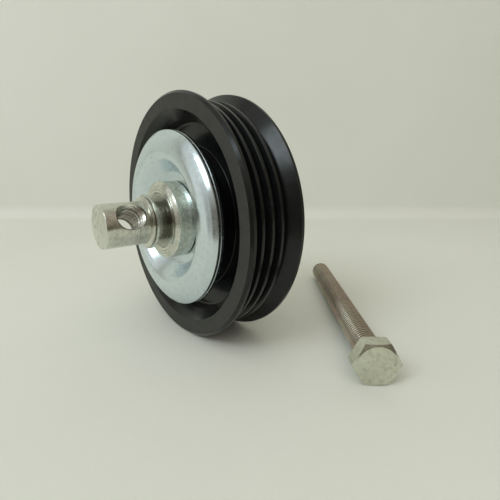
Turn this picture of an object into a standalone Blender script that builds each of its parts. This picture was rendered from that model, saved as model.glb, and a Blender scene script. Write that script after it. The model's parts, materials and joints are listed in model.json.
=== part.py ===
"""Belt tensioner idler with its loose adjusting bolt.

The spindle's axis is world Y, +Z is up, and the origin is where that axis meets the plane of the
collar face that bears on the engine bracket. The slide block and its threaded cross hole reach
out to -Y, and the pulley, bearing and covers stack up along +Y. Lengths below are millimetres.
"""

import math

import bmesh
import bpy

MM = 0.001
GAP = 0.3                       # between pieces that touch or turn past each other
FULL_TURN = 2.0 * math.pi

# Grooved pulley
PULLEY_RADIUS = 40.0
CREST_RADIUS = 37.8
GROOVE_COUNT = 4
GROOVE_PITCH = 3.56
GROOVE_DEPTH = 2.6
GROOVE_ROOT_HALF = 0.35
GROOVE_HALF_ANGLE = math.radians(20.0)
BELT_LINE_Y = 15.85
PULLEY_FRONT_Y = 6.35
PULLEY_REAR_Y = 26.5
FRONT_LAND_END_Y = 7.05
REAR_LAND_START_Y = 25.84
RIM_FACE_OUTER_RADIUS = 38.6
RIM_FACE_INNER_RADIUS = 35.0
CAVITY_RADIUS = 31.2
CAVITY_CONE_DEPTH = 4.0
WEB_HALF_THICKNESS = 2.2
HUB_RADIUS = 23.4
HUB_FRONT_Y = 8.1
HUB_REAR_Y = 23.0
HUB_SHOULDER_RADIUS = 18.4

# Ball bearing, 17 x 40 x 12
BEARING_BORE_RADIUS = 8.5
BEARING_OUTER_RADIUS = 20.0
BEARING_HALF_WIDTH = 6.0
BALL_COUNT = 8
BALL_RADIUS = 3.37
BALL_PITCH_RADIUS = 14.25
RACEWAY_RADIUS = 3.6
INNER_SHOULDER_RADIUS = 12.0
OUTER_SHOULDER_RADIUS = 16.6
SEAL_THICKNESS = 0.8
SEAL_INSET = 0.4
SEAL_SEAT_RADIUS = 17.4
CAGE_HALF_WIDTH = 4.4
CAGE_INNER_RADIUS = 13.1
CAGE_OUTER_RADIUS = 15.4
CAGE_POCKET_RADIUS = BALL_RADIUS + GAP
RIVET_RADIUS = 0.5
RIVET_HEAD_RADIUS = 1.0
RIVET_HEAD_HEIGHT = 0.35

# Spindle
BLOCK_END_Y = -19.2
BLOCK_RADIUS = 6.75
LIP_FRONT_Y = -5.6
LIP_REAR_Y = -3.85
LIP_FRONT_RADIUS = 8.0
LIP_RADIUS = 8.6
NECK_RADIUS = 6.2
SEAT_INNER_RADIUS = 6.9
SEAT_OUTER_RADIUS = 11.3
COLLAR_RADIUS = 12.4
COLLAR_CHAMFER_LENGTH = 1.1
COLLAR_REAR_Y = 6.4
JOURNAL_RADIUS = BEARING_BORE_RADIUS - GAP
JOURNAL_END_Y = 29.9
CROSS_HOLE_Y = -11.35
CROSS_HOLE_ANGLE = math.radians(30.8)    # above +X, about the spindle's axis
CROSS_HOLE_RADIUS = 3.6                  # pitch radius of the M8 thread
CROSS_HOLE_MOUTH_RADIUS = 4.55

# Stamped covers and the rings that clamp them
COVER_THICKNESS = 1.0
COVER_RADIUS = 28.4
COVER_FACE_Y = 2.6
COVER_FLOOR_Y = COLLAR_REAR_Y + GAP
COVER_DISH_OUTER_RADIUS = 19.8
COVER_FLOOR_RADIUS = 15.4
COVER_RIM_END_Y = 4.7
SPACER_RADIUS = 12.0
WASHER_RADIUS = 13.0
WASHER_THICKNESS = 1.5
CIRCLIP_THICKNESS = 1.2
CIRCLIP_GROOVE_RADIUS = 7.6
CIRCLIP_OUTER_RADIUS = 10.2
HUB_CIRCLIP_THICKNESS = 1.0
HUB_CIRCLIP_INNER_RADIUS = 18.0
HUB_CIRCLIP_GROOVE_RADIUS = 21.4

# Adjusting bolt, M8 x 90, lying on the surface that the pulley stands on
BOLT_LENGTH = 90.0
BOLT_RADIUS = 3.9
BOLT_TIP_CHAMFER = 0.9
BOLT_HEAD_ACROSS_FLATS = 12.0
BOLT_HEAD_HEIGHT = 5.3
BOLT_HEAD_CHAMFER = 0.75
BOLT_UNDERHEAD_X = 60.35
BOLT_UNDERHEAD_Y = 33.2
BOLT_HEADING = math.radians(50.8)        # from +Y towards -X, seen from above

ROUND_STEPS = 36
PULLEY_STEPS = 48

BEARING_FRONT_Y = BELT_LINE_Y - BEARING_HALF_WIDTH
BEARING_REAR_Y = BELT_LINE_Y + BEARING_HALF_WIDTH
REAR_COVER_FLOOR_Y = 2.0 * BELT_LINE_Y - COVER_FLOOR_Y


def mirrored(outline):
    """The same outline on the other side of the belt line."""
    return [(2.0 * BELT_LINE_Y - y, radius) for y, radius in outline]


def material(name, colour, roughness, metallic):
    made = bpy.data.materials.new(name)
    made.use_nodes = True
    shader = made.node_tree.nodes["Principled BSDF"]
    shader.inputs["Base Color"].default_value = (*colour, 1.0)
    shader.inputs["Roughness"].default_value = roughness
    shader.inputs["Metallic"].default_value = metallic
    return made


def add_object(name, mesh, surface, crease_degrees=30.0):
    mesh.materials.append(surface)
    mesh.shade_smooth()
    mesh.set_sharp_from_angle(angle=math.radians(crease_degrees))
    made = bpy.data.objects.new(name, mesh)
    bpy.context.scene.collection.objects.link(made)
    return made


def turned_mesh(name, outline, steps):
    """Spin an outline of (y, radius) points about Y. A solid piece's outline starts and ends on the axis."""
    mesh_data = bmesh.new()
    points = [mesh_data.verts.new((radius * MM, y * MM, 0.0)) for y, radius in outline]
    on_axis = outline[0][1] == 0.0
    ends = points[1:] if on_axis else points[1:] + points[:1]
    edges = [mesh_data.edges.new(pair) for pair in zip(points, ends)]
    bmesh.ops.spin(mesh_data, geom=points + edges, cent=(0, 0, 0), axis=(0, 1, 0), angle=FULL_TURN, steps=steps)
    bmesh.ops.remove_doubles(mesh_data, verts=mesh_data.verts, dist=1e-6)
    bmesh.ops.recalc_face_normals(mesh_data, faces=mesh_data.faces)
    mesh = bpy.data.meshes.new(name)
    mesh_data.to_mesh(mesh)
    mesh_data.free()
    return mesh


def turned(name, outline, surface, steps=ROUND_STEPS):
    return add_object(name, turned_mesh(name, outline, steps), surface)


def ring(name, front_y, rear_y, inner_radius, outer_radius, surface, chamfer=0.2, steps=ROUND_STEPS):
    """A flat ring with its two outer edges chamfered."""
    outline = [
        (front_y, inner_radius),
        (front_y, outer_radius - chamfer),
        (front_y + chamfer, outer_radius),
        (rear_y - chamfer, outer_radius),
        (rear_y, outer_radius - chamfer),
        (rear_y, inner_radius),
    ]
    return turned(name, outline, surface, steps)


def cutter(name, mesh):
    made = bpy.data.objects.new(name, mesh)
    made.hide_render = True
    made.display_type = "WIRE"
    bpy.context.scene.collection.objects.link(made)
    return made


def boolean(target, tool, operation="DIFFERENCE"):
    step = target.modifiers.new(tool.name, "BOOLEAN")
    step.operation = operation
    step.object = tool


def groove_outline():
    """Rim from the front land, down and up through each V groove, to the rear land."""
    flank = GROOVE_DEPTH * math.tan(GROOVE_HALF_ANGLE)
    root_radius = CREST_RADIUS - GROOVE_DEPTH
    first_root = BELT_LINE_Y - 0.5 * (GROOVE_COUNT - 1) * GROOVE_PITCH
    points = []
    for index in range(GROOVE_COUNT):
        root_y = first_root + index * GROOVE_PITCH
        if index > 0:
            points.append((root_y - GROOVE_ROOT_HALF - flank, CREST_RADIUS))
        points.append((root_y - GROOVE_ROOT_HALF, root_radius))
        points.append((root_y + GROOVE_ROOT_HALF, root_radius))
        if index < GROOVE_COUNT - 1:
            points.append((root_y + GROOVE_ROOT_HALF + flank, CREST_RADIUS))
    return points


def add_pulley(surface):
    chamfer_y = 0.4
    outline = [
        (PULLEY_FRONT_Y, RIM_FACE_INNER_RADIUS),
        (PULLEY_FRONT_Y, RIM_FACE_OUTER_RADIUS),
        (PULLEY_FRONT_Y + chamfer_y, PULLEY_RADIUS),
        (FRONT_LAND_END_Y, PULLEY_RADIUS),
        *groove_outline(),
        (REAR_LAND_START_Y, PULLEY_RADIUS),
        (PULLEY_REAR_Y - chamfer_y, PULLEY_RADIUS),
        (PULLEY_REAR_Y, RIM_FACE_OUTER_RADIUS),
        (PULLEY_REAR_Y, RIM_FACE_INNER_RADIUS),
        (PULLEY_REAR_Y - CAVITY_CONE_DEPTH, CAVITY_RADIUS),
        (BELT_LINE_Y + WEB_HALF_THICKNESS, CAVITY_RADIUS),
        (BELT_LINE_Y + WEB_HALF_THICKNESS, HUB_RADIUS),
        (HUB_REAR_Y, HUB_RADIUS),
        (HUB_REAR_Y, HUB_SHOULDER_RADIUS),
        (BEARING_REAR_Y + GAP, HUB_SHOULDER_RADIUS),
        (BEARING_REAR_Y + GAP, BEARING_OUTER_RADIUS + GAP),
        (BEARING_FRONT_Y, BEARING_OUTER_RADIUS + GAP),
        (BEARING_FRONT_Y, HUB_CIRCLIP_GROOVE_RADIUS),
        (HUB_FRONT_Y + 0.3, HUB_CIRCLIP_GROOVE_RADIUS),
        (HUB_FRONT_Y + 0.3, BEARING_OUTER_RADIUS + GAP),
        (HUB_FRONT_Y - 0.4, BEARING_OUTER_RADIUS + GAP),
        (HUB_FRONT_Y - 0.4, HUB_RADIUS),
        (BELT_LINE_Y - WEB_HALF_THICKNESS, HUB_RADIUS),
        (BELT_LINE_Y - WEB_HALF_THICKNESS, CAVITY_RADIUS),
        (PULLEY_FRONT_Y + CAVITY_CONE_DEPTH, CAVITY_RADIUS),
    ]
    turned("grooved_pulley", outline, surface, PULLEY_STEPS)


def raceway(side, first, last, count=6):
    """Points along the ball groove. side is -1 for the inner ring's groove and +1 for the outer ring's."""
    points = []
    for index in range(count + 1):
        angle = first + (last - first) * index / count
        y = BELT_LINE_Y + RACEWAY_RADIUS * math.sin(angle)
        points.append((y, BALL_PITCH_RADIUS + side * RACEWAY_RADIUS * math.cos(angle)))
    return points


def add_bearing_rings(steel):
    inner_reach = math.acos((BALL_PITCH_RADIUS - INNER_SHOULDER_RADIUS) / RACEWAY_RADIUS)
    outer_reach = math.acos((OUTER_SHOULDER_RADIUS - BALL_PITCH_RADIUS) / RACEWAY_RADIUS)
    inner = [
        (BEARING_REAR_Y, INNER_SHOULDER_RADIUS),
        (BEARING_REAR_Y, BEARING_BORE_RADIUS),
        (BEARING_FRONT_Y, BEARING_BORE_RADIUS),
        (BEARING_FRONT_Y, INNER_SHOULDER_RADIUS),
        *raceway(-1, -inner_reach, inner_reach),
    ]
    turned("bearing_inner_ring", inner, steel)
    seat_depth = SEAL_INSET + SEAL_THICKNESS + GAP
    outer = [
        (BEARING_FRONT_Y, SEAL_SEAT_RADIUS),
        (BEARING_FRONT_Y, BEARING_OUTER_RADIUS),
        (BEARING_REAR_Y, BEARING_OUTER_RADIUS),
        (BEARING_REAR_Y, SEAL_SEAT_RADIUS),
        (BEARING_REAR_Y - seat_depth, SEAL_SEAT_RADIUS),
        (BEARING_REAR_Y - seat_depth, OUTER_SHOULDER_RADIUS),
        *raceway(1, outer_reach, -outer_reach),
        (BEARING_FRONT_Y + seat_depth, OUTER_SHOULDER_RADIUS),
        (BEARING_FRONT_Y + seat_depth, SEAL_SEAT_RADIUS),
    ]
    turned("bearing_outer_ring", outer, steel)


def add_seals(rubber):
    front_y = BEARING_FRONT_Y + SEAL_INSET
    outline = [
        (front_y, INNER_SHOULDER_RADIUS + GAP),
        (front_y, SEAL_SEAT_RADIUS - GAP),
        (front_y + SEAL_THICKNESS, SEAL_SEAT_RADIUS - GAP),
        (front_y + SEAL_THICKNESS, INNER_SHOULDER_RADIUS + GAP),
    ]
    turned("bearing_front_seal", outline, rubber)
    turned("bearing_rear_seal", mirrored(outline), rubber)


def ball_angle(index):
    return FULL_TURN * index / BALL_COUNT


def ball_centre(index):
    angle = ball_angle(index)
    return (
        BALL_PITCH_RADIUS * math.cos(angle) * MM,
        BELT_LINE_Y * MM,
        BALL_PITCH_RADIUS * math.sin(angle) * MM,
    )


def add_balls(steel):
    mesh = bpy.data.meshes.new("bearing_ball")
    mesh_data = bmesh.new()
    bmesh.ops.create_uvsphere(mesh_data, u_segments=12, v_segments=7, radius=BALL_RADIUS * MM)
    mesh_data.to_mesh(mesh)
    mesh_data.free()
    mesh.materials.append(steel)
    mesh.shade_smooth()
    for index in range(BALL_COUNT):
        ball = bpy.data.objects.new(f"bearing_ball_{index + 1}", mesh)
        ball.location = ball_centre(index)
        bpy.context.scene.collection.objects.link(ball)


def pocket_cutter(name, radius, length, y, angle, steps):
    """A round cutter that crosses the ring radially, centred on the ball pitch circle."""
    outline = [(-length / 2, 0.0), (-length / 2, radius), (length / 2, radius), (length / 2, 0.0)]
    tool = cutter(name, turned_mesh(name, outline, steps))
    tool.rotation_euler = (0.0, -angle, -0.5 * math.pi)
    tool.rotation_mode = "XYZ"
    tool.location = (
        BALL_PITCH_RADIUS * math.cos(angle) * MM,
        y * MM,
        BALL_PITCH_RADIUS * math.sin(angle) * MM,
    )
    return tool


def add_cage(steel):
    """Two halves that meet between the balls, with a rivet through both in each web."""
    middle_gap = 0.5 * GAP
    half = [
        (BELT_LINE_Y - CAGE_HALF_WIDTH, CAGE_INNER_RADIUS),
        (BELT_LINE_Y - CAGE_HALF_WIDTH, CAGE_OUTER_RADIUS),
        (BELT_LINE_Y - middle_gap, CAGE_OUTER_RADIUS),
        (BELT_LINE_Y - middle_gap, CAGE_INNER_RADIUS),
    ]
    halves = [turned("cage_front_half", half, steel), turned("cage_rear_half", mirrored(half), steel)]
    rivet_hole = [
        (BELT_LINE_Y - CAGE_HALF_WIDTH - 1.0, 0.0),
        (BELT_LINE_Y - CAGE_HALF_WIDTH - 1.0, RIVET_RADIUS + 0.2),
        (BELT_LINE_Y + CAGE_HALF_WIDTH + 1.0, RIVET_RADIUS + 0.2),
        (BELT_LINE_Y + CAGE_HALF_WIDTH + 1.0, 0.0),
    ]
    head_seat = CAGE_HALF_WIDTH + 0.05
    head_top = head_seat + RIVET_HEAD_HEIGHT
    rivet = [
        (BELT_LINE_Y - head_top, 0.0),
        (BELT_LINE_Y - head_top, 0.7 * RIVET_HEAD_RADIUS),
        (BELT_LINE_Y - head_seat, RIVET_HEAD_RADIUS),
        (BELT_LINE_Y - head_seat, RIVET_RADIUS),
        (BELT_LINE_Y + head_seat, RIVET_RADIUS),
        (BELT_LINE_Y + head_seat, RIVET_HEAD_RADIUS),
        (BELT_LINE_Y + head_top, 0.7 * RIVET_HEAD_RADIUS),
        (BELT_LINE_Y + head_top, 0.0),
    ]
    for index in range(BALL_COUNT):
        pocket = pocket_cutter(f"pocket_cutter_{index}", CAGE_POCKET_RADIUS, 8.0, BELT_LINE_Y, ball_angle(index), 12)
        web_angle = ball_angle(index + 0.5)
        web_place = (
            BALL_PITCH_RADIUS * math.cos(web_angle) * MM,
            0.0,
            BALL_PITCH_RADIUS * math.sin(web_angle) * MM,
        )
        hole = cutter(f"rivet_cutter_{index}", turned_mesh("rivet_cutter", rivet_hole, 8))
        hole.location = web_place
        pin = turned(f"cage_rivet_{index + 1}", rivet, steel, 8)
        pin.location = web_place
        for part in halves:
            boolean(part, pocket)
            boolean(part, hole)


def spindle_outline():
    groove_y = JOURNAL_END_Y - 1.5
    lip_middle_y = 0.5 * (LIP_FRONT_Y + LIP_REAR_Y)
    return [
        (BLOCK_END_Y, 0.0),
        (BLOCK_END_Y, BLOCK_RADIUS - 0.3),
        (BLOCK_END_Y + 0.3, BLOCK_RADIUS),
        (LIP_FRONT_Y - 0.4, BLOCK_RADIUS),
        (LIP_FRONT_Y, LIP_FRONT_RADIUS),
        (lip_middle_y, LIP_FRONT_RADIUS + 0.1),
        (lip_middle_y + 0.2, LIP_RADIUS),
        (LIP_REAR_Y, LIP_RADIUS),
        (LIP_REAR_Y, NECK_RADIUS),
        (-0.5, NECK_RADIUS),
        (0.0, SEAT_INNER_RADIUS),
        (0.0, SEAT_OUTER_RADIUS),
        (COLLAR_CHAMFER_LENGTH, COLLAR_RADIUS),
        (COLLAR_REAR_Y - 0.3, COLLAR_RADIUS),
        (COLLAR_REAR_Y, COLLAR_RADIUS - 0.3),
        (COLLAR_REAR_Y, JOURNAL_RADIUS),
        (groove_y - CIRCLIP_THICKNESS - 0.1, JOURNAL_RADIUS),
        (groove_y - CIRCLIP_THICKNESS - 0.1, CIRCLIP_GROOVE_RADIUS - GAP),
        (groove_y + 0.1, CIRCLIP_GROOVE_RADIUS - GAP),
        (groove_y + 0.1, JOURNAL_RADIUS),
        (JOURNAL_END_Y - 0.6, JOURNAL_RADIUS),
        (JOURNAL_END_Y, JOURNAL_RADIUS - 0.6),
        (JOURNAL_END_Y, 0.0),
    ]


def add_spindle(steel):
    """One turned piece: slide block, lip, neck, collar and bearing journal, with the cross hole cut through."""
    spindle = turned("spindle", spindle_outline(), steel)
    reach = BLOCK_RADIUS + 0.5
    flare = CROSS_HOLE_MOUTH_RADIUS - CROSS_HOLE_RADIUS
    mouth = BLOCK_RADIUS - 0.9
    outline = [
        (-reach, 0.0),
        (-reach, CROSS_HOLE_MOUTH_RADIUS),
        (-mouth, CROSS_HOLE_MOUTH_RADIUS),
        (-mouth + flare, CROSS_HOLE_RADIUS),
        (mouth - flare, CROSS_HOLE_RADIUS),
        (mouth, CROSS_HOLE_MOUTH_RADIUS),
        (reach, CROSS_HOLE_MOUTH_RADIUS),
        (reach, 0.0),
    ]
    tool = cutter("cross_hole_cutter", turned_mesh("cross_hole_cutter", outline, 24))
    tool.rotation_euler = (0.0, -CROSS_HOLE_ANGLE, -0.5 * math.pi)
    tool.location = (0.0, CROSS_HOLE_Y * MM, 0.0)
    boolean(spindle, tool)


def cover_outline():
    """Stamped sheet: flat floor round the journal, dish, flat band and a hemmed outer rim."""
    back = COVER_THICKNESS
    slope = 0.45
    return [
        (COVER_FLOOR_Y, JOURNAL_RADIUS + GAP),
        (COVER_FLOOR_Y, COVER_FLOOR_RADIUS),
        (COVER_FACE_Y + 0.6, COVER_DISH_OUTER_RADIUS - 0.9),
        (COVER_FACE_Y, COVER_DISH_OUTER_RADIUS),
        (COVER_FACE_Y, COVER_RADIUS - 1.8),
        (COVER_FACE_Y + 0.6, COVER_RADIUS - 0.5),
        (COVER_FACE_Y + 1.3, COVER_RADIUS),
        (COVER_RIM_END_Y, COVER_RADIUS),
        (COVER_RIM_END_Y, COVER_RADIUS - back),
        (COVER_FACE_Y + back, COVER_RADIUS - 2.2),
        (COVER_FACE_Y + back, COVER_DISH_OUTER_RADIUS + slope),
        (COVER_FLOOR_Y + back, COVER_FLOOR_RADIUS + slope),
        (COVER_FLOOR_Y + back, JOURNAL_RADIUS + GAP),
    ]


def add_covers(zinc):
    outline = cover_outline()
    turned("front_dust_cover", outline, zinc)
    turned("rear_dust_cover", mirrored(outline), zinc)


def add_clamping_rings(steel):
    """Spacers, washer and circlips that hold the bearing on the journal and in the hub."""
    bore = JOURNAL_RADIUS + GAP
    spacer_front = COVER_FLOOR_Y + COVER_THICKNESS + GAP
    ring("front_spacer", spacer_front, BEARING_FRONT_Y - GAP, bore, SPACER_RADIUS, steel)
    rear_spacer_end = REAR_COVER_FLOOR_Y - COVER_THICKNESS - GAP
    ring("rear_spacer", BEARING_REAR_Y + GAP, rear_spacer_end, bore, SPACER_RADIUS, steel)
    washer_front = REAR_COVER_FLOOR_Y + GAP
    ring("rear_washer", washer_front, washer_front + WASHER_THICKNESS, bore, WASHER_RADIUS, steel)
    add_split_ring(
        "spindle_circlip",
        JOURNAL_END_Y - 1.5 - CIRCLIP_THICKNESS,
        CIRCLIP_THICKNESS,
        CIRCLIP_GROOVE_RADIUS,
        CIRCLIP_OUTER_RADIUS,
        steel,
    )
    add_split_ring(
        "hub_circlip",
        BEARING_FRONT_Y - GAP - HUB_CIRCLIP_THICKNESS,
        HUB_CIRCLIP_THICKNESS,
        HUB_CIRCLIP_INNER_RADIUS,
        HUB_CIRCLIP_GROOVE_RADIUS - GAP,
        steel,
    )


def add_split_ring(name, front_y, thickness, inner_radius, outer_radius, steel):
    """A flat spring ring with a gap at the bottom."""
    gap_half_width = 1.6
    clip = ring(name, front_y, front_y + thickness, inner_radius, outer_radius, steel, chamfer=0.1)
    slot = bpy.data.meshes.new(f"{name}_slot_cutter")
    mesh_data = bmesh.new()
    bmesh.ops.create_cube(mesh_data, size=1.0)
    bmesh.ops.scale(
        mesh_data,
        vec=(2 * gap_half_width * MM, (thickness + 2.0) * MM, outer_radius * MM),
        verts=mesh_data.verts,
    )
    mesh_data.to_mesh(slot)
    mesh_data.free()
    tool = cutter(f"{name}_slot_cutter", slot)
    tool.location = (0.0, (front_y + 0.5 * thickness) * MM, -(inner_radius + 0.45 * outer_radius) * MM)
    boolean(clip, tool)


def bolt_pose():
    """An empty at the bolt's bearing face: local +Y runs to the tip, which is lower than the head's middle."""
    half_flats = 0.5 * BOLT_HEAD_ACROSS_FLATS
    tilt = math.atan((half_flats - BOLT_RADIUS) / (BOLT_LENGTH - BOLT_TIP_CHAMFER))
    height = -PULLEY_RADIUS + half_flats * math.cos(tilt)
    pose = bpy.data.objects.new("bolt_pose", None)
    pose.location = (BOLT_UNDERHEAD_X * MM, BOLT_UNDERHEAD_Y * MM, height * MM)
    pose.rotation_euler = (-tilt, 0.0, BOLT_HEADING)
    bpy.context.scene.collection.objects.link(pose)
    return pose


def add_bolt(zinc):
    """Hexagon head with a chamfered top, joined to a round shank."""
    pose = bolt_pose()
    shank = [
        (-0.5 * BOLT_HEAD_HEIGHT, 0.0),
        (-0.5 * BOLT_HEAD_HEIGHT, BOLT_RADIUS),
        (BOLT_LENGTH - BOLT_TIP_CHAMFER, BOLT_RADIUS),
        (BOLT_LENGTH, BOLT_RADIUS - BOLT_TIP_CHAMFER),
        (BOLT_LENGTH, 0.0),
    ]
    bolt = turned("adjusting_bolt", shank, zinc, 24)
    corner_radius = 0.5 * BOLT_HEAD_ACROSS_FLATS / math.cos(math.radians(30.0))
    head = cutter("bolt_head_cutter", turned_mesh("bolt_head_cutter", [
        (-BOLT_HEAD_HEIGHT, 0.0),
        (-BOLT_HEAD_HEIGHT, corner_radius),
        (0.0, corner_radius),
        (0.0, 0.0),
    ], 6))
    crown = cutter("bolt_crown_cutter", turned_mesh("bolt_crown_cutter", [
        (-BOLT_HEAD_HEIGHT, 0.0),
        (-BOLT_HEAD_HEIGHT, corner_radius - 2.0 * BOLT_HEAD_CHAMFER),
        (-BOLT_HEAD_HEIGHT + BOLT_HEAD_CHAMFER, corner_radius + 0.1),
        (1.0, corner_radius + 0.1),
        (1.0, 0.0),
    ], 24))
    boolean(head, crown, "INTERSECT")
    boolean(bolt, head, "UNION")
    for piece in (bolt, head, crown):
        piece.parent = pose


def build():
    for old in list(bpy.data.objects):
        bpy.data.objects.remove(old, do_unlink=True)
    black = material("black_paint", (0.022, 0.024, 0.026), 0.32, 0.0)
    zinc = material("zinc_plate", (0.62, 0.64, 0.61), 0.3, 1.0)
    blue_zinc = material("blue_zinc_sheet", (0.58, 0.65, 0.65), 0.28, 1.0)
    bearing_steel = material("bearing_steel", (0.55, 0.55, 0.56), 0.18, 1.0)
    seal_rubber = material("seal_rubber", (0.03, 0.03, 0.032), 0.6, 0.0)
    add_pulley(black)
    add_bearing_rings(bearing_steel)
    add_seals(seal_rubber)
    add_balls(bearing_steel)
    add_cage(bearing_steel)
    add_spindle(zinc)
    add_covers(blue_zinc)
    add_clamping_rings(zinc)
    add_bolt(zinc)


build()
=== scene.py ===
"""Looks of the belt tensioner idler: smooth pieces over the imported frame, materials, studio and camera.

Lengths are millimetres unless a name or comment says otherwise. Turned pieces are outlines of (y, radius) about the
spindle's axis, which is world Y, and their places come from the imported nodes' boxes.
"""

import json
import math

import bmesh
import bpy
from mathutils import Matrix, Vector


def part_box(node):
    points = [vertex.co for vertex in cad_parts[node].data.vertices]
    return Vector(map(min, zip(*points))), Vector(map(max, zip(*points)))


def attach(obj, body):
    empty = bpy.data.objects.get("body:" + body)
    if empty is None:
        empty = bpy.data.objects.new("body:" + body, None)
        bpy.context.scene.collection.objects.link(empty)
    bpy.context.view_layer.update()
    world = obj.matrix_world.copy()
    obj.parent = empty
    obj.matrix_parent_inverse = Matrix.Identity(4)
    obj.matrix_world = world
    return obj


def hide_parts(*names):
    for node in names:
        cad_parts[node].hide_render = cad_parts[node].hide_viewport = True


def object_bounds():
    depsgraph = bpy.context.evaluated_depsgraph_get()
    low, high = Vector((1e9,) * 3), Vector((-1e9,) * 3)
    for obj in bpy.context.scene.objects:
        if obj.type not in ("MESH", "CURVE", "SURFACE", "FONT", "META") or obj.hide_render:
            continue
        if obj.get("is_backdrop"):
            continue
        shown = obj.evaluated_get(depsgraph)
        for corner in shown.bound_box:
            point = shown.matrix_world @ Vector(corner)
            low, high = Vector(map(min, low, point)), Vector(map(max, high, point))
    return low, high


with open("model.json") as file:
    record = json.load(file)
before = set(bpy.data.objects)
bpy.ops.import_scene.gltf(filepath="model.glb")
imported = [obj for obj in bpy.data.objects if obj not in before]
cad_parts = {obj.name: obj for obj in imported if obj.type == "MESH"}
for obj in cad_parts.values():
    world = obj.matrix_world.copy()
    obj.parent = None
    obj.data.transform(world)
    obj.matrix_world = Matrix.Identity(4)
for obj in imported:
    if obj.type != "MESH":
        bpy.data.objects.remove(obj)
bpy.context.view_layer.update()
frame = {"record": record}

MM = 0.001
FULL_TURN = 2.0 * math.pi
ON_AXIS = 1e-6                           # a smaller radius is a point on the axis

# Facets round a turned piece, and along a fillet
FINE_STEPS = 224
SPINDLE_STEPS = 192
ROUND_STEPS = 128
CROWN_STEPS = 120
ROD_STEPS = 72
HOLE_STEPS = 144
BALL_STEPS = 48
RIVET_STEPS = 32
RIVET_HOLE_STEPS = 24
ARC_STEPS = 5
SHEET_ARC_STEPS = 8
SHARP_ANGLE = math.radians(38.0)
BEVEL_ANGLE = math.radians(24.0)

# Camera, in metres in the part's frame
CAMERA_PLACE = (0.11795, -0.05670, 0.02188)
CAMERA_YAW = math.radians(51.34)         # from +Y towards -X
CAMERA_PITCH = math.radians(13.98)       # below the horizon
CAMERA_LENS = 28.72
CAMERA_SENSOR = 36.0
CAMERA_NEAR = 0.005

# Threads, with the flank and the crest as shares of the pitch
BOLT_PITCH = 1.25
HOLE_PITCH = 0.85
THREAD_FLANK = 0.3
THREAD_CREST = 0.18
ROWS_PER_PITCH = 14

# Bearing and the bore of what sits on the journal
BALL_COUNT = 8
BALL_CIRCLE = 14.25                      # radius of the circle that the balls' centres lie on
JOURNAL_BORE = 8.5


# ---------------------------------------------------------------- outlines

def span(node):
    """Front y, rear y and outer radius of a turned node."""
    low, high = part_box(node)
    return low[1] / MM, high[1] / MM, high[0] / MM


def rounded(outline, closed=True, arc_steps=ARC_STEPS):
    """Points (y, radius, edge value, run value) for an outline of (y, radius, fillet[, run value]).

    The edge value is 1 in the middle of an outer edge's fillet, where edges look rubbed and get a painted highlight,
    and -1 in the middle of an inner corner's, where zinc gets painted shade. The run value holds for the corner's
    fillet
    and for the run that follows it: on the black paint it makes a satin face, on zinc it gives painted shade.
    """
    corners = [Vector(point[:2]) for point in outline]
    area = sum(a.cross(b) for a, b in zip(corners, corners[1:] + corners[:1]))
    points = []
    for index, point in enumerate(outline):
        corner, fillet = corners[index], point[2]
        matte_and_shade = point[3] if len(point) > 3 else 0.0
        at_end = not closed and index in (0, len(outline) - 1)
        if fillet <= 0.0 or at_end:
            points.append((*corner, 0.0, matte_and_shade))
            continue
        to_before = (corners[index - 1] - corner).normalized()
        to_after = (corners[(index + 1) % len(corners)] - corner).normalized()
        half = 0.5 * to_before.angle(to_after)
        centre = corner + (to_before + to_after).normalized() * (fillet / math.sin(half))
        first = corner + to_before * (fillet / math.tan(half)) - centre
        last = corner + to_after * (fillet / math.tan(half)) - centre
        turn = math.atan2(first.cross(last), first.dot(last))
        side = 1.0 if turn * area > 0.0 else -1.0
        for step in range(arc_steps + 1):
            share = step / arc_steps
            place = centre + Matrix.Rotation(turn * share, 2) @ first
            points.append((*place, side * math.sin(math.pi * share), matte_and_shade))
    return points


def subdivided(points, longest):
    """The same open run of points with none further than longest from the next."""
    dense = []
    for here, after in zip(points, points[1:]):
        count = max(1, math.ceil(math.dist(here[:2], after[:2]) / longest))
        for step in range(count):
            share = step / count
            dense.append(tuple(a + (b - a) * share for a, b in zip(here, after)))
    return dense + [points[-1]]


def mirrored(outline, middle):
    return [(2.0 * middle - point[0], *point[1:]) for point in outline]


def lathe(name, points, steps=ROUND_STEPS, closed=True):
    """Mesh of the points turned about Y. An open run starts and ends on the axis."""
    mesh_data = bmesh.new()
    # Each vertex keeps its edge value (rubbed look with a painted highlight, or painted shade) and each face its run
    # value
    wear_highlight_and_shade_layer = mesh_data.verts.layers.float.new("wear_highlight_and_shade")
    matte_and_shade_layer = mesh_data.faces.layers.float.new("matte_and_shade")
    rings = []
    for y, radius, wear_highlight_and_shade, _ in points:
        count = 1 if radius < ON_AXIS else steps
        ring = []
        for step in range(count):
            angle = FULL_TURN * step / count
            vert = mesh_data.verts.new((radius * MM * math.cos(angle), y * MM, radius * MM * math.sin(angle)))
            vert[wear_highlight_and_shade_layer] = wear_highlight_and_shade
            ring.append(vert)
        rings.append(ring)
    runs = list(zip(rings, rings[1:] + rings[:1], [point[3] for point in points]))
    if not closed:
        runs.pop()
    for first, second, matte_and_shade in runs:
        for step in range(steps):
            after = (step + 1) % steps
            corners = [
                first[step % len(first)],
                first[after % len(first)],
                second[after % len(second)],
                second[step % len(second)],
            ]
            face = mesh_data.faces.new(list(dict.fromkeys(corners)))
            face[matte_and_shade_layer] = matte_and_shade
    return to_mesh(name, mesh_data)


def to_mesh(name, mesh_data):
    bmesh.ops.recalc_face_normals(mesh_data, faces=mesh_data.faces)
    mesh = bpy.data.meshes.new(name)
    mesh_data.to_mesh(mesh)
    mesh_data.free()
    return mesh


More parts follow.
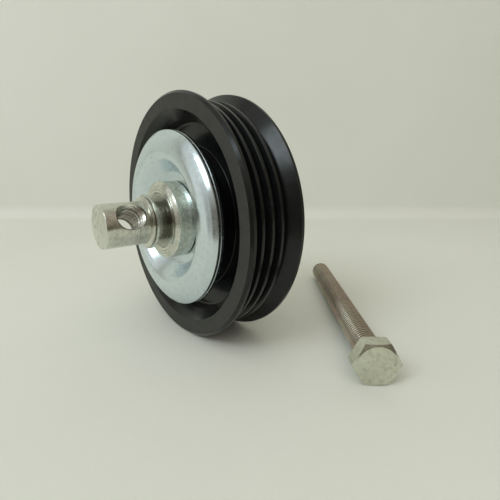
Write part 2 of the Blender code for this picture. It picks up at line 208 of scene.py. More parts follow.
def cylinder(name, start, end, radius, steps):
    """Mesh of a solid cylinder along Y, used as a cutting tool or as a blank that is cut."""
    corners = [(start, 0.0), (start, radius), (end, radius), (end, 0.0)]
    return lathe(name, [(*corner, 0.0, 0.0) for corner in corners], steps, closed=False)


def thread_share(phase):
    """Height of a thread from root, 0, to crest, 1, at a phase measured in pitches."""
    across = abs((phase % 1.0) - 0.5)
    return min(1.0, max(0.0, (0.5 * THREAD_CREST + THREAD_FLANK - across) / THREAD_FLANK))


def threaded_rod(name, start, end, pitch, steps, radius_at, shaded_radius, unshaded_radius):
    """A closed rod along Y whose radius is radius_at(y, phase), where phase counts the thread's turns.

    Its edge value falls from 0 at the unshaded radius to -1 at the shaded one, which paints shade into the thread's
    roots.
    """
    mesh_data = bmesh.new()
    wear_highlight_and_shade_layer = mesh_data.verts.layers.float.new("wear_highlight_and_shade")
    row_count = math.ceil((end - start) / pitch * ROWS_PER_PITCH)
    rings = []
    for row in range(row_count + 1):
        y = start + (end - start) * row / row_count
        ring = []
        for step in range(steps):
            angle = FULL_TURN * step / steps
            radius = radius_at(y, y / pitch + step / steps)
            vert = mesh_data.verts.new((radius * MM * math.cos(angle), y * MM, radius * MM * math.sin(angle)))
            # Painted shade, deepest in the roots of the thread
            root_shade = (radius - unshaded_radius) / (shaded_radius - unshaded_radius)
            vert[wear_highlight_and_shade_layer] = -min(1.0, max(0.0, root_shade))
            ring.append(vert)
        rings.append(ring)
    for first, second in zip(rings, rings[1:]):
        for step in range(steps):
            after = (step + 1) % steps
            mesh_data.faces.new((first[step], first[after], second[after], second[step]))
    for ring in (rings[0], rings[-1]):
        mesh_data.faces.new(ring)
    return to_mesh(name, mesh_data)


# ---------------------------------------------------------------- pieces

def new_object(name, mesh):
    made = bpy.data.objects.new(name, mesh)
    bpy.context.scene.collection.objects.link(made)
    return made


def cut(piece, tool_mesh, place=None, operation="DIFFERENCE"):
    """Boolean of the piece with a tool that is removed again."""
    tool = new_object("tool", tool_mesh)
    if place is not None:
        tool.matrix_world = place
    step = piece.modifiers.new("cut", "BOOLEAN")
    step.operation = operation
    step.object = tool
    step.solver = "EXACT"
    bpy.context.view_layer.update()
    evaluated = piece.evaluated_get(bpy.context.evaluated_depsgraph_get())
    result = bpy.data.meshes.new_from_object(evaluated)
    piece.modifiers.clear()
    piece.data = result
    bpy.data.objects.remove(tool, do_unlink=True)


def joined(name, parts):
    """One mesh from pairs of a mesh and its place."""
    mesh_data = bmesh.new()
    for mesh, place in parts:
        mesh.transform(place)
        mesh_data.from_mesh(mesh)
    return to_mesh(name, mesh_data)


def dress(piece, surface, body, slot, *nodes):
    """Shades the piece, gives it its material, ties it to its body and hides the nodes it stands for; slot is not
    used.
    """
    piece.data.materials.clear()
    piece.data.materials.append(surface)
    piece.data.shade_smooth()
    piece.data.set_sharp_from_angle(angle=SHARP_ANGLE)
    normals = piece.modifiers.new("flat faces", "WEIGHTED_NORMAL")
    normals.keep_sharp = True
    normals.weight = 80
    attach(piece, body)
    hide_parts(*nodes)
    return piece


def turned(name, outline, surface, body, slot, node, steps=ROUND_STEPS, arc_steps=ARC_STEPS):
    piece = new_object(name, lathe(name, rounded(outline, arc_steps=arc_steps), steps))
    return dress(piece, surface, body, slot, node)


def add_pulley(surface):
    """Rim with two flanges and belt grooves, on a web and a hub that holds the bearing and its circlip."""
    front, rear, radius = span("grooved_pulley")
    bearing_front, bearing_rear, bearing_radius = span("bearing_outer_ring")
    middle = 0.5 * (bearing_front + bearing_rear)

    groove_count, pitch, root_half, flank_angle = 4, 3.56, 0.35, math.radians(20.0)
    crest = radius - 2.2
    root = crest - 2.6
    crest_fillet, root_fillet = 0.22, 0.15
    flank = (crest - root) * math.tan(flank_angle)
    first_root = middle - 0.5 * (groove_count - 1) * pitch
    grooves = []
    for index in range(groove_count):
        root_y = first_root + index * pitch
        if index > 0:
            grooves.append((root_y - root_half - flank, crest, crest_fillet))
        grooves.append((root_y - root_half, root, root_fillet))
        grooves.append((root_y + root_half, root, root_fillet))
        if index < groove_count - 1:
            grooves.append((root_y + root_half + flank, crest, crest_fillet))

    face_in, chamfer, land = radius - 5.3, 0.8, 1.7
    cavity, cone, web_half = 31.2, 4.0, 2.2
    hub, hub_front, hub_rear, hub_shoulder = 23.4, 7.7, 23.0, 18.4
    gap = 0.3
    bore = bearing_radius + gap
    circlip_seat, circlip_wall = 21.4, 0.7
    outline = [
        # front flange
        (front, face_in, 0.5, 1.0),
        (front, radius - chamfer, 0.1),
        (front + chamfer, radius, 0.12, 0.3),
        (front + land, radius, 0.15),
        *grooves,
        # rear flange
        (rear - land, radius, 0.15, 0.3),
        (rear - chamfer, radius, 0.12),
        (rear, radius - chamfer, 0.1, 1.0),
        (rear, face_in, 0.5),
        # rear cavity, down to the web and up the hub
        (rear - cone, cavity, 1.2),
        (middle + web_half, cavity, 1.0),
        (middle + web_half, hub, 0.6),
        (hub_rear, hub, 0.3),
        # bore, with the circlip's groove
        (hub_rear, hub_shoulder, 0.2),
        (bearing_rear + gap, hub_shoulder, 0.1),
        (bearing_rear + gap, bore, 0.1),
        (bearing_front, bore, 0.05),
        (bearing_front, circlip_seat, 0.05),
        (hub_front + circlip_wall, circlip_seat, 0.05),
        (hub_front + circlip_wall, bore, 0.05),
        (hub_front, bore, 0.1),
        # front cavity
        (hub_front, hub, 0.1),
        (middle - web_half, hub, 0.6),
        (middle - web_half, cavity, 1.0),
        (front + cone, cavity, 1.2),
    ]
    turned("pulley_rim", outline, surface, "pulley", "black_paint", "grooved_pulley", FINE_STEPS)


def add_spindle(surface):
    """Slide block with its lip, neck, collar and journal, and the threaded hole across the block."""
    start, end, collar = span("spindle")
    block, lip, neck, journal = 6.75, 8.6, 6.2, 8.2
    neck_end, collar_end = 0.55, 6.4
    circlip_seat, circlip_start, circlip_end = 7.3, end - 2.8, end - 1.4
    tip_chamfer = 0.6
    # Fourth numbers are shares of painted shade: in the lip's groove, on the back of the lip, down the neck, in the
    # collar's recess and in its fine rings
    outline = [
        # block and lip, with a groove round the lip
        (start, 0.0, 0.0),
        (start, block, 0.22),
        (-6.0, block, 0.15),
        (-5.62, 8.0, 0.12),
        (-5.05, 8.05, 0.05, 0.3),
        (-4.95, 7.8, 0.04, 0.5),
        (-4.8, 7.8, 0.04, 0.3),
        (-4.68, lip, 0.08),
        (-3.85, lip, 0.12, 0.8),
        # neck, which ends in a recess of the collar's face
        (-3.85, neck, 0.15, 0.3),
        (neck_end, neck, 0.15, 1.0),
        (neck_end, 8.7, 0.12, 0.3),
        # collar's face with two fine rings
        (0.0, 9.05, 0.05),
        (0.0, 9.7, 0.03, 0.25),
        (0.12, 9.8, 0.03, 0.25),
        (0.12, 10.0, 0.03),
        (0.0, 10.1, 0.03),
        (0.0, 10.7, 0.02, 0.2),
        (0.09, 10.78, 0.02, 0.2),
        (0.09, 10.9, 0.02),
        (0.0, 10.98, 0.02),
        # collar
        (0.0, collar - 1.35, 0.08),
        (0.9, collar, 0.12),
        (collar_end, collar, 0.12),
        # journal, with the circlip's groove near its end
        (collar_end, journal, 0.1),
        (circlip_start, journal, 0.03),
        (circlip_start, circlip_seat, 0.03),
        (circlip_end, circlip_seat, 0.03),
        (circlip_end, journal, 0.03),
        (end - tip_chamfer, journal, 0.1),
        (end, journal - tip_chamfer, 0.1),
        (end, 0.0, 0.0),
    ]
    longest_run = 1.0
    points = subdivided(rounded(outline, closed=False), longest_run)
    piece = new_object("spindle_body", lathe("spindle_body", points, SPINDLE_STEPS, closed=False))

    hole_y, hole_angle = -11.35, math.radians(30.8)
    hole_crest, thread_height = 3.5, 0.45
    # The hole's thread is darkened towards its roots as painted shade
    shaded_radius, unshaded_radius = 3.8, 3.53
    mouth, mouth_start, reach = 4.55, block - 0.9, block + 0.6

    def hole_radius(along, phase):
        cut_thread = hole_crest + thread_height * thread_share(phase)
        flare = min(mouth, mouth - (mouth_start - abs(along)))
        return max(cut_thread, flare)

    tool = threaded_rod(
        "cross_hole", -reach, reach, HOLE_PITCH, HOLE_STEPS, hole_radius, shaded_radius, unshaded_radius
    )
    across = Matrix.Rotation(-hole_angle, 4, "Y") @ Matrix.Rotation(-0.5 * math.pi, 4, "Z")
    cut(piece, tool, Matrix.Translation((0.0, hole_y * MM, 0.0)) @ across)
    dress(piece, surface, "spindle", "zinc_turned", "spindle")


def cover_outline(node):
    """Stamped sheet: floor, dish, flat band, and an edge folded back on itself with a fine crease.

    The band bulges further out than the faceted CAD solid does.
    """
    face, rear, radius = span(node)
    bulge, rim_depth = 1.5, 4.8
    face -= bulge
    floor, thick = rear - 1.0, 1.0
    rim_end = face + rim_depth
    crease = radius - 0.22
    return [
        # outside: floor, dish and band
        (floor, JOURNAL_BORE, 0.1),
        (floor, 15.2, 1.6),
        (face, 20.2, 4.0),
        (face, radius - 5.0, 8.0),
        # wide rounding, crease and the end of the rim; the crease gets painted shade
        (face + 0.7, radius - 2.7, 4.2),
        (face + 1.6, radius - 1.15, 2.2),
        (face + 2.6, radius, 0.7),
        (face + 3.45, radius, 0.15, 0.4),
        (face + 3.55, crease, 0.04, 0.6),
        (face + 3.67, crease, 0.04, 0.4),
        (face + 3.77, radius, 0.15),
        (rim_end, radius - 0.05, 0.2),
        (rim_end, radius - 1.0, 0.2),
        # inside, back to the bore
        (face + thick + 1.1, radius - 2.8, 0.8),
        (face + thick, 20.35, 2.0),
        (floor + thick, 15.85, 0.6),
        (floor + thick, JOURNAL_BORE, 0.1),
    ]


def add_covers(surface):
    outline = cover_outline("front_dust_cover")
    bearing_front, bearing_rear, _ = span("bearing_outer_ring")
    middle = 0.5 * (bearing_front + bearing_rear)
    for name, shape, node in (
        ("front_cover_sheet", outline, "front_dust_cover"),
        ("rear_cover_sheet", mirrored(outline, middle), "rear_dust_cover"),
    ):
        turned(name, shape, surface, "spindle", "zinc_sheet", node, FINE_STEPS, SHEET_ARC_STEPS)


def ring_outline(node, inner, fillet):
    front, rear, outer = span(node)
    return [(front, inner, fillet), (front, outer, fillet), (rear, outer, fillet), (rear, inner, fillet)]


def add_rings(zinc_surface, spring_surface):
    """Plain rings on the journal, and the two circlips with their gaps at the bottom."""
    for node in ("front_spacer", "rear_spacer", "rear_washer"):
        outline = ring_outline(node, JOURNAL_BORE, 0.15)
        turned(f"{node}_ring", outline, zinc_surface, "spindle", "zinc_turned", node)
    gap_width, gap_overshoot = 3.2, 2.0
    for node, inner, body in (("spindle_circlip", 7.6, "spindle"), ("hub_circlip", 18.0, "pulley")):
        front, rear, outer = span(node)
        piece = new_object(f"{node}_ring", lathe(node, rounded(ring_outline(node, inner, 0.08))))
        gap = bmesh.new()
        bmesh.ops.create_cube(gap, size=1.0)
        size = (gap_width * MM, (rear - front + gap_overshoot) * MM, outer * MM)
        bmesh.ops.scale(gap, vec=size, verts=gap.verts)
        place = Matrix.Translation((0.0, 0.5 * (front + rear) * MM, -(inner + 0.45 * outer) * MM))
        cut(piece, to_mesh("gap", gap), place)
        dress(piece, spring_surface, body, "spring_steel", node)


def add_bearing(steel, rubber):
    """Ball bearing: two rings with curved raceways, two seals, balls and cage."""
    front, rear, outer = span("bearing_outer_ring")
    middle = 0.5 * (front + rear)
    race, race_steps = 3.6, 20
    inner_shoulder, outer_shoulder, seat, seat_depth = 12.0, 16.6, 17.4, 1.5

    def raceway(side, shoulder):
        reach = math.acos(abs(shoulder - BALL_CIRCLE) / race)
        angles = [-reach + 2.0 * reach * step / race_steps for step in range(race_steps + 1)]
        return [(middle + race * math.sin(a), BALL_CIRCLE + side * race * math.cos(a), 0.0) for a in angles]

    inner_ring = [
        (rear, inner_shoulder, 0.15),
        (rear, JOURNAL_BORE, 0.4),
        (front, JOURNAL_BORE, 0.4),
        (front, inner_shoulder, 0.15),
        *raceway(-1, inner_shoulder),
    ]
    outer_ring = [
        (front, seat, 0.1),
        (front, outer, 0.5),
        (rear, outer, 0.5),
        (rear, seat, 0.1),
        (rear - seat_depth, seat, 0.05),
        (rear - seat_depth, outer_shoulder, 0.05),
        *reversed(raceway(1, outer_shoulder)),
        (front + seat_depth, outer_shoulder, 0.05),
        (front + seat_depth, seat, 0.05),
    ]
    turned("inner_ring", inner_ring, steel, "spindle", "bearing_steel", "bearing_inner_ring")
    turned("outer_ring", outer_ring, steel, "pulley", "bearing_steel", "bearing_outer_ring")

    seal_inner, groove_in, groove_out, groove_depth, fillet = 12.3, 13.3, 16.3, 0.25, 0.15
    for node in ("bearing_front_seal", "bearing_rear_seal"):
        seal_front, seal_rear, seal_outer = span(node)
        is_front = node == "bearing_front_seal"
        face, back = (seal_front, seal_rear) if is_front else (seal_rear, seal_front)
        sunk = face + groove_depth * (1.0 if is_front else -1.0)
        seal = [
            (face, seal_inner, fillet),
            (face, groove_in, fillet),
            (sunk, groove_in + 0.3, fillet),
            (sunk, groove_out - 0.3, fillet),
            (face, groove_out, fillet),
            (face, seal_outer, fillet),
            (back, seal_outer, fillet),
            (back, seal_inner, fillet),
        ]
        turned(f"{node}_ring", seal, rubber, "pulley", "seal_rubber", node)
    add_balls(steel)
    add_cage(steel)


def add_balls(steel):
    """Balls as finely turned spheres, each about its own node's centre."""
    rows = 32
    for index in range(1, BALL_COUNT + 1):
        node = f"bearing_ball_{index}"
        low, high = (Vector(corner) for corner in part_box(node))
        radius = 0.5 * (high.y - low.y) / MM
        points = []
        for row in range(rows + 1):
            angle = math.pi * row / rows
            at_pole = row in (0, rows)
            points.append((-math.cos(angle) * radius, 0.0 if at_pole else math.sin(angle) * radius, 0.0, 0.0))
        piece = new_object(f"ball_{index}_polished", lathe(node, points, BALL_STEPS, closed=False))
        piece.data.transform(Matrix.Translation(0.5 * (low + high)))
        dress(piece, steel, f"ball_{index}", "bearing_steel", node)


def web_place(index):
    """The middle of the web after ball index, on the circle that the balls' centres lie on."""
    angle = FULL_TURN * (index + 0.5) / BALL_COUNT
    return Matrix.Translation((BALL_CIRCLE * math.cos(angle) * MM, 0.0, BALL_CIRCLE * math.sin(angle) * MM))


def add_cage(steel):
    """Two halves with a pocket for each ball, held by domed rivets through the webs between them."""
    front, _, _ = span("cage_front_half")
    _, rear, _ = span("cage_rear_half")
    middle, inner, outer = 0.5 * (front + rear), 13.1, 15.4
    pocket_radius, pocket_reach, hole_radius, seam = 3.67, 3.5, 0.7, 0.15

    half = [(front, inner, 0.35), (front, outer, 0.35), (middle - seam, outer, 0.08), (middle - seam, inner, 0.08)]
    for node, outline in (("cage_front_half", half), ("cage_rear_half", mirrored(half, middle))):
        tools = []
        for index in range(BALL_COUNT):
            ball_turn = Matrix.Rotation(-FULL_TURN * index / BALL_COUNT, 4, "Y")
            radially = ball_turn @ Matrix.Rotation(-0.5 * math.pi, 4, "Z")
            at_middle = Matrix.Translation((0.0, middle * MM, 0.0))
            pocket = cylinder(
                "pocket", BALL_CIRCLE - pocket_reach, BALL_CIRCLE + pocket_reach, pocket_radius, BALL_STEPS
            )
            tools.append((pocket, at_middle @ radially))
            hole = cylinder("hole", front - 1.0, rear + 1.0, hole_radius, RIVET_HOLE_STEPS)
            tools.append((hole, web_place(index)))
        piece = new_object(f"{node}_pressed", lathe(node, rounded(outline)))
        cut(piece, joined("pockets", tools))
        dress(piece, steel, "ball_cage", "bearing_steel", node)

    seat, head_height, pin, head = 0.05, 0.35, 0.5, 1.0
    rivet_front, rivet_rear = front - seat, rear + seat
    rivet = [
        (rivet_front - head_height, 0.0, 0.0),
        (rivet_front - head_height, 0.6 * head, 0.3),
        (rivet_front, head, 0.04),
        (rivet_front, pin, 0.03),
        (rivet_rear, pin, 0.03),
        (rivet_rear, head, 0.04),
        (rivet_rear + head_height, 0.6 * head, 0.3),
        (rivet_rear + head_height, 0.0, 0.0),
    ]
    for index in range(BALL_COUNT):
        node = f"cage_rivet_{index + 1}"
        mesh = lathe(node, rounded(rivet, closed=False), RIVET_STEPS, closed=False)
        piece = new_object(f"{node}_domed", mesh)
        piece.data.transform(web_place(index))
        dress(piece, steel, "ball_cage", "bearing_steel", node)


def add_bolt(head_surface, shank_surface):
    """Hexagon head with a chamfered crown, and a shank threaded up to the head. The bolt's own Y is its axis."""
    seat = next(mount for mount in frame["record"]["mounts"] if mount["name"] == "bolt_head_seat")
    seat_radius = 5.0
    axis = Vector(seat["axis"]).normalized()
    side = Vector((axis.y, -axis.x, 0.0)).normalized()
    rotation = Matrix((side, axis, side.cross(axis))).transposed()
    under_head = Vector(seat["pos_m"]) - seat_radius * MM * side
    place = Matrix.Translation(under_head) @ rotation.to_4x4()

    length, shank, root, tip = 90.0, 3.9, 3.24, 0.9
    run_in_start, run_in_length, into_head = 0.9, 0.8, 0.5

    def shank_radius(y, phase):
        end = shank - max(0.0, y - (length - tip))
        run_in = min(1.0, max(0.0, (y - run_in_start) / run_in_length))
        return min(end, shank - (shank - root) * run_in * (1.0 - thread_share(phase)))

    # The shank's thread is darkened towards its roots as painted shade
    shaded_radius, unshaded_radius = shank - 0.38, shank - 0.04
    rod_mesh = threaded_rod(
        "bolt_shank", -into_head, length, BOLT_PITCH, ROD_STEPS, shank_radius, shaded_radius, unshaded_radius
    )
    rod = new_object("bolt_shank", rod_mesh)
    rod.data.transform(place)

    flats, height = 12.0, 5.3
    corner = 0.5 * flats / math.cos(math.radians(30.0))
    clear = corner + 0.1
    crown = [
        (-height, 0.0, 0.0),
        (-height, corner - 1.5, 0.2),
        (-height + 0.75, clear, 0.0),
        (-0.35, clear, 0.0),
        (0.0, 0.5 * flats - 0.25, 0.1),
        (0.0, 0.0, 0.0),
    ]
    head = new_object("bolt_head", cylinder("hexagon", -height, 0.0, corner, 6))
    crown_mesh = lathe("crown", rounded(crown, closed=False), CROWN_STEPS, closed=False)
    cut(head, crown_mesh, operation="INTERSECT")
    head.data.transform(place)
    edge = head.modifiers.new("edges", "BEVEL")
    edge.width = 0.2 * MM
    edge.segments = 2
    edge.limit_method = "ANGLE"
    edge.angle_limit = BEVEL_ANGLE
    dress(head, head_surface, "adjusting_bolt", "zinc_bolt", "adjusting_bolt")
    dress(rod, shank_surface, "adjusting_bolt", "zinc_bolt", "adjusting_bolt")


# ---------------------------------------------------------------- materials

class Nodes:
    """Short ways to add nodes to the tree of a material or a world."""

    def __init__(self, owner, shader_name, coordinates):
        owner.use_nodes = True
        self.tree = owner.node_tree
        self.shader = self.tree.nodes[shader_name]
        self.place = self.add("ShaderNodeTexCoord").outputs[coordinates]

    def feed(self, socket, value):
        """Links a socket to an input, or sets the input to a plain value."""
        if isinstance(value, bpy.types.NodeSocket):
            self.tree.links.new(value, socket)
        else:
            socket.default_value = value

    def add(self, kind, inputs=None, **settings):
        made = self.tree.nodes.new(kind)
        for key, value in settings.items():
            setattr(made, key, value)
        for key, value in (inputs or {}).items():
            self.feed(made.inputs[key], value)
        return made

    def set(self, **inputs):
        """Feeds the shader's inputs, named with _ for each space."""
        for key, value in inputs.items():
            self.feed(self.shader.inputs[key.replace("_", " ")], value)

    def math(self, operation, first, second=0.0):
        return self.add("ShaderNodeMath", {0: first, 1: second}, operation=operation).outputs[0]

    def noise(self, scale, detail=3.0, vector=None, roughness=0.55, distortion=0.0):
        made = self.add("ShaderNodeTexNoise", {
            "Vector": vector or self.place, "Scale": scale, "Detail": detail, "Roughness": roughness,
            "Distortion": distortion,
        })
        return made.outputs["Fac"]

    def remap(self, value, low, high, to_low=0.0, to_high=1.0):
        return self.add("ShaderNodeMapRange", {
            "Value": value, "From Min": low, "From Max": high, "To Min": to_low, "To Max": to_high,
        }).outputs["Result"]

    def clouded(self, scale, detail, to_low=0.0, to_high=1.0):
        """Noise spread over its usual range, 0.3 to 0.7."""
        return self.remap(self.noise(scale, detail), 0.3, 0.7, to_low, to_high)

    def mix(self, share, first, second):
        """Mix of two colours, each a socket or plain red, green and blue."""
        made = self.add("ShaderNodeMix", {0: share}, data_type="RGBA")
        for socket, value in ((made.inputs[6], first), (made.inputs[7], second)):
            self.feed(socket, (*value, 1.0) if isinstance(value, tuple) else value)
        return made.outputs[2]

    def rings(self, scale):
        """Noise that only changes with radius and y, as turning leaves it."""
        parts = self.add("ShaderNodeSeparateXYZ", {0: self.place})
        flat = self.add("ShaderNodeCombineXYZ", {0: parts.outputs[0], 2: parts.outputs[2]})
        radius = self.add("ShaderNodeVectorMath", {0: flat.outputs[0]}, operation="LENGTH").outputs["Value"]
        ring_place = self.add("ShaderNodeCombineXYZ", {0: radius, 1: parts.outputs[1]}).outputs[0]
        return self.noise(scale, 4.0, ring_place)

    def attribute(self, name):
        return self.add("ShaderNodeAttribute", attribute_name=name).outputs["Fac"]

    def along(self, direction):
        """How far the coordinates reach along a direction."""
        made = self.add("ShaderNodeVectorMath", {0: self.place, 1: direction[:]}, operation="DOT_PRODUCT")
        return made.outputs["Value"]

    def bump(self, height, distance, strength=1.0, under=None):
        """Bump on top of the normal under. distance is in metres."""
        inputs = {"Height": height, "Distance": distance, "Strength": strength}
        if under is not None:
            inputs["Normal"] = under
        return self.add("ShaderNodeBump", inputs).outputs["Normal"]


class Surface(Nodes):
    """A material whose textures lie in the object's own coordinates."""

    def __init__(self, name):
        self.material = bpy.data.materials.new(name)
        super().__init__(self.material, "Principled BSDF", "Object")


def zinc(name, light, dark, roughness, relief, mottle_share, edge_share, stain=None, stain_amount=0.0):
    """Bright zinc plate: clouded and mottled colour, dark specks, rubbed edges lightened with a painted highlight,
    and painted shade in corners, creases, recesses and the roots of threads.

    relief holds the depths, in metres, of the turning rings, the dents and the grain.
    """
    mottle_colour, speck_colour = (0.30, 0.30, 0.25), (0.20, 0.19, 0.16)
    # Colours for rubbed edges with a painted highlight, and for painted shade
    rubbed_highlight_colour, painted_shade_colour = (0.90, 0.91, 0.89), (0.09, 0.09, 0.07)
    ring_depth, dent_depth, grain_depth = relief
    made = Surface(name)
    colour = made.mix(made.clouded(110.0, 3.0), light, dark)
    if stain is not None:
        patch = made.remap(made.noise(70.0, 4.0, distortion=0.6), 0.42, 0.66, 0.0, stain_amount)
        colour = made.mix(patch, colour, stain)
    mottle = made.remap(made.noise(760.0, 4.0, roughness=0.65), 0.46, 0.68, 0.0, mottle_share)
    colour = made.mix(mottle, colour, mottle_colour)
    specks = made.remap(made.noise(1300.0, 2.0), 0.66, 0.76, 0.0, 1.4 * mottle_share)
    colour = made.mix(specks, colour, speck_colour)
    wear_highlight_and_shade = made.attribute("wear_highlight_and_shade")
    edge = made.math("MAXIMUM", wear_highlight_and_shade, 0.0)
    # Outer edges lighten: a rubbed look and a painted highlight
    colour = made.mix(made.math("MULTIPLY", edge, edge_share), colour, rubbed_highlight_colour)
    # Painted shade in inner corners and thread roots, and on the runs that the outlines mark for it
    corner = made.math("MULTIPLY", wear_highlight_and_shade, -1.3 * edge_share)
    painted_shade = made.math("MAXIMUM", corner, made.math("MULTIPLY", made.attribute("matte_and_shade"), 0.75))
    colour = made.mix(painted_shade, colour, painted_shade_colour)
    rough = made.clouded(420.0, 4.0, roughness - 0.04, roughness + 0.06)
    turning = made.bump(made.rings(2600.0), ring_depth)
    dents = made.bump(made.noise(520.0, 3.0), dent_depth, 1.0, turning)
    grain = made.bump(made.noise(3200.0, 3.0), grain_depth, 0.6, dents)
    made.set(Base_Color=colour, Metallic=1.0, Roughness=rough, Normal=grain)
    return made.material


def black_paint():
    """Satin on the machined flange faces, glossier elsewhere, and greyer along edges, where the paint is thinner and
    a highlight is painted.
    """
    worn_edge_highlight_colour, dust_colour = (0.05, 0.051, 0.05), (0.2, 0.2, 0.18)
    made = Surface("black_coating")
    matte_and_shade = made.attribute("matte_and_shade")
    cloud = made.clouded(220.0, 4.0)
    base = made.mix(cloud, (0.0045, 0.0052, 0.0056), (0.0075, 0.0085, 0.0088))
    face = made.mix(cloud, (0.027, 0.027, 0.024), (0.035, 0.035, 0.031))
    colour = made.mix(matte_and_shade, base, face)
    broken = made.remap(made.noise(900.0, 4.0), 0.42, 0.7)
    # Outer edges go grey: thinner paint and a painted highlight
    edge = made.math("MULTIPLY", made.math("MAXIMUM", made.attribute("wear_highlight_and_shade"), 0.0), broken)
    colour = made.mix(made.math("MULTIPLY", edge, 0.3), colour, worn_edge_highlight_colour)
    dust = made.remap(made.noise(1900.0, 2.0), 0.72, 0.78, 0.0, 0.16)
    colour = made.mix(dust, colour, dust_colour)
    gloss = made.clouded(380.0, 4.0, 0.17, 0.27)
    satin = made.clouded(500.0, 4.0, 0.48, 0.6)
    rough = made.add("ShaderNodeMix", {0: matte_and_shade, 2: gloss, 3: satin}, data_type="FLOAT").outputs[0]
    peel = made.bump(made.noise(900.0, 3.0), 0.000004, 0.7)
    turning = made.bump(made.rings(2200.0), 0.000003, 0.6, peel)
    made.set(Base_Color=colour, Roughness=rough, Normal=turning, Specular_IOR_Level=0.36)
    return made.material


def bearing_steel():
    made = Surface("ground_bearing_steel")
    made.set(
        Base_Color=made.mix(made.clouded(160.0, 3.0), (0.50, 0.50, 0.51), (0.60, 0.60, 0.61)),
        Metallic=1.0,
        Roughness=made.remap(made.rings(3800.0), 0.3, 0.7, 0.12, 0.24),
        Normal=made.bump(made.rings(5200.0), 0.000006),
    )
    return made.material


def spring_steel():
    made = Surface("phosphated_spring_steel")
    made.set(
        Base_Color=made.mix(made.clouded(700.0, 4.0), (0.10, 0.10, 0.11), (0.19, 0.19, 0.2)),
        Metallic=0.9,
        Roughness=made.clouded(900.0, 3.0, 0.38, 0.55),
        Normal=made.bump(made.noise(2400.0, 3.0), 0.00001),
    )
    return made.material


def seal_rubber():
    made = Surface("moulded_rubber")
    made.set(
        Base_Color=made.mix(made.clouded(500.0, 4.0), (0.020, 0.020, 0.021), (0.036, 0.036, 0.037)),
        Roughness=made.clouded(800.0, 3.0, 0.5, 0.68),
        Normal=made.bump(made.noise(2600.0, 3.0), 0.00002),
    )
    return made.material


def pale_paper():
    made = Surface("pale_paper")
    made.set(
        Base_Color=made.mix(made.clouded(9.0, 4.0), (0.745, 0.765, 0.705), (0.775, 0.79, 0.735)),
        Specular_IOR_Level=0.25,
        Roughness=made.clouded(60.0, 3.0, 0.6, 0.72),
        Normal=made.bump(made.noise(900.0, 3.0), 0.00004),
    )
    return made.material


# ---------------------------------------------------------------- studio, in metres

def camera_axes():
    """Level directions ahead of the camera and to its right, and up."""
    ahead = Vector((-math.sin(CAMERA_YAW), math.cos(CAMERA_YAW), 0.0))
    return ahead, Vector((ahead.y, -ahead.x, 0.0)), Vector((0.0, 0.0, 1.0))


def aim(made, direction):
    """Turns a camera or light so that it looks along a direction."""
    made.rotation_mode = "QUATERNION"
    made.rotation_quaternion = direction.to_track_quat("-Z", "Y")


def add_camera():
    data = bpy.data.cameras.new("camera")
    data.lens = CAMERA_LENS
    data.sensor_width = CAMERA_SENSOR
    data.clip_start = CAMERA_NEAR
    made = new_object("camera", data)
    made.location = CAMERA_PLACE
    ahead, _, up = camera_axes()
    aim(made, ahead * math.cos(CAMERA_PITCH) - up * math.sin(CAMERA_PITCH))
    bpy.context.scene.camera = made


def add_backdrop(paper):
    """Pale paper: flat floor that sweeps up into a wall behind the object, and the floor behind the camera.

    Distances are from the point of the floor under the camera. Glossy surfaces don't mirror the floor behind it.
    """
    ahead, right, up = camera_axes()
    floor_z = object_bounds()[0][2]
    foot = Vector((CAMERA_PLACE[0], CAMERA_PLACE[1], floor_z))
    wall, bend, bend_steps, half_width, height, behind = 0.376, 0.012, 12, 4.5, 2.2, -2.4
    profile = [(0.0, 0.0), (wall - bend, 0.0)]
    for step in range(1, bend_steps + 1):
        angle = 0.5 * math.pi * step / bend_steps
        profile.append((wall - bend + bend * math.sin(angle), bend - bend * math.cos(angle)))
    profile.append((wall, height))
    for name, outline in (("backdrop", profile), ("floor_behind_camera", [(behind, 0.0), (0.0, 0.0)])):
        mesh_data = bmesh.new()
        rows = []
        for distance, rise in outline:
            centre = foot + ahead * distance + up * rise
            rows.append([mesh_data.verts.new(centre + right * (half_width * side)) for side in (-1.0, 1.0)])
        for first, second in zip(rows, rows[1:]):
            mesh_data.faces.new((first[0], first[1], second[1], second[0]))
        mesh = bpy.data.meshes.new(name)
        mesh_data.to_mesh(mesh)
        mesh_data.free()
        mesh.shade_smooth()
        mesh.materials.append(paper)
        made = new_object(name, mesh)
        made.visible_glossy = name == "backdrop"
        made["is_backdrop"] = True


def add_area(name, target, offset, size, power, colour, mirrored_in_gloss=True):
    """Soft light at target plus offset, given along the camera's right, ahead and up."""
    ahead, right, up = camera_axes()
    place = target + right * offset[0] + ahead * offset[1] + up * offset[2]
    data = bpy.data.lights.new(name, "AREA")
    data.shape = "RECTANGLE"
    data.size, data.size_y = size
    data.energy = power
    data.color = colour
    made = new_object(name, data)
    made.location = place
    aim(made, target - place)
    made.visible_glossy = mirrored_in_gloss


def add_lights():
    """A window and a wide fill behind the camera's left shoulder."""
    target = Vector((0.01, 0.02, -0.01))
    add_area("window", target, (-0.60, -0.60, 0.70), (0.46, 0.40), 2.9, (0.83, 0.96, 1.0))
    add_area("fill", target, (-0.15, -0.70, 0.90), (1.8, 1.4), 5.3, (1.0, 0.97, 0.92), mirrored_in_gloss=False)


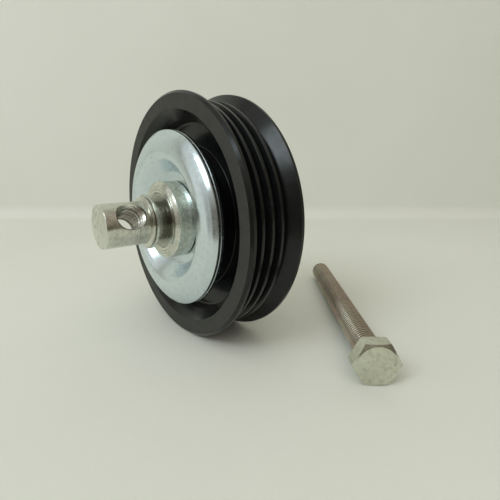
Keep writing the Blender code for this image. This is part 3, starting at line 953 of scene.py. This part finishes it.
def add_room():
    """World that is pale on the left and brown behind the camera, and pale all over where it is seen directly."""
    ahead, right, up = camera_axes()
    world = bpy.data.worlds.new("studio")
    room = Nodes(world, "Background", "Generated")
    pale_side = room.along(ahead * 0.62 - right * 0.78)
    height = room.along(up)
    low = room.mix(room.remap(pale_side, -0.15, 0.75), (0.15, 0.13, 0.10), (0.86, 0.88, 0.82))
    ceiling = room.mix(room.remap(pale_side, -0.7, 0.6), (0.40, 0.35, 0.29), (0.70, 0.70, 0.66))
    around = room.mix(room.remap(height, 0.12, 0.6), low, ceiling)
    seen_directly = room.add("ShaderNodeLightPath").outputs["Is Camera Ray"]
    room.set(Color=room.mix(seen_directly, around, (0.60, 0.61, 0.54)), Strength=1.0)
    bpy.context.scene.world = world


bpy.context.scene.view_settings.view_transform = "Standard"

turned_zinc = zinc(
    "bright_zinc",
    light=(0.74, 0.75, 0.67),
    dark=(0.64, 0.65, 0.57),
    roughness=0.22,
    relief=(0.00004, 0.000014, 0.000008),
    mottle_share=0.5,
    edge_share=0.6,
)
sheet_zinc = zinc(
    "blue_zinc_sheet",
    light=(0.69, 0.785, 0.83),
    dark=(0.65, 0.74, 0.78),
    roughness=0.23,
    relief=(0.0000004, 0.000004, 0.000003),
    mottle_share=0.14,
    edge_share=0.08,
)
head_zinc = zinc(
    "yellowish_zinc",
    light=(0.72, 0.74, 0.62),
    dark=(0.62, 0.64, 0.53),
    roughness=0.22,
    relief=(0.0, 0.00005, 0.000008),
    mottle_share=0.45,
    edge_share=0.6,
    stain=(0.60, 0.53, 0.46),
    stain_amount=0.35,
)
shank_zinc = zinc(
    "dulled_zinc",
    light=(0.64, 0.59, 0.475),
    dark=(0.54, 0.475, 0.38),
    roughness=0.36,
    relief=(0.0, 0.000004, 0.000006),
    mottle_share=0.4,
    edge_share=0.75,
    stain=(0.50, 0.38, 0.33),
    stain_amount=0.8,
)
polished_steel = bearing_steel()
add_pulley(black_paint())
add_spindle(turned_zinc)
add_covers(sheet_zinc)
add_rings(turned_zinc, spring_steel())
add_bearing(polished_steel, seal_rubber())
add_bolt(head_zinc, shank_zinc)
add_backdrop(pale_paper())
add_lights()
add_room()
add_camera()
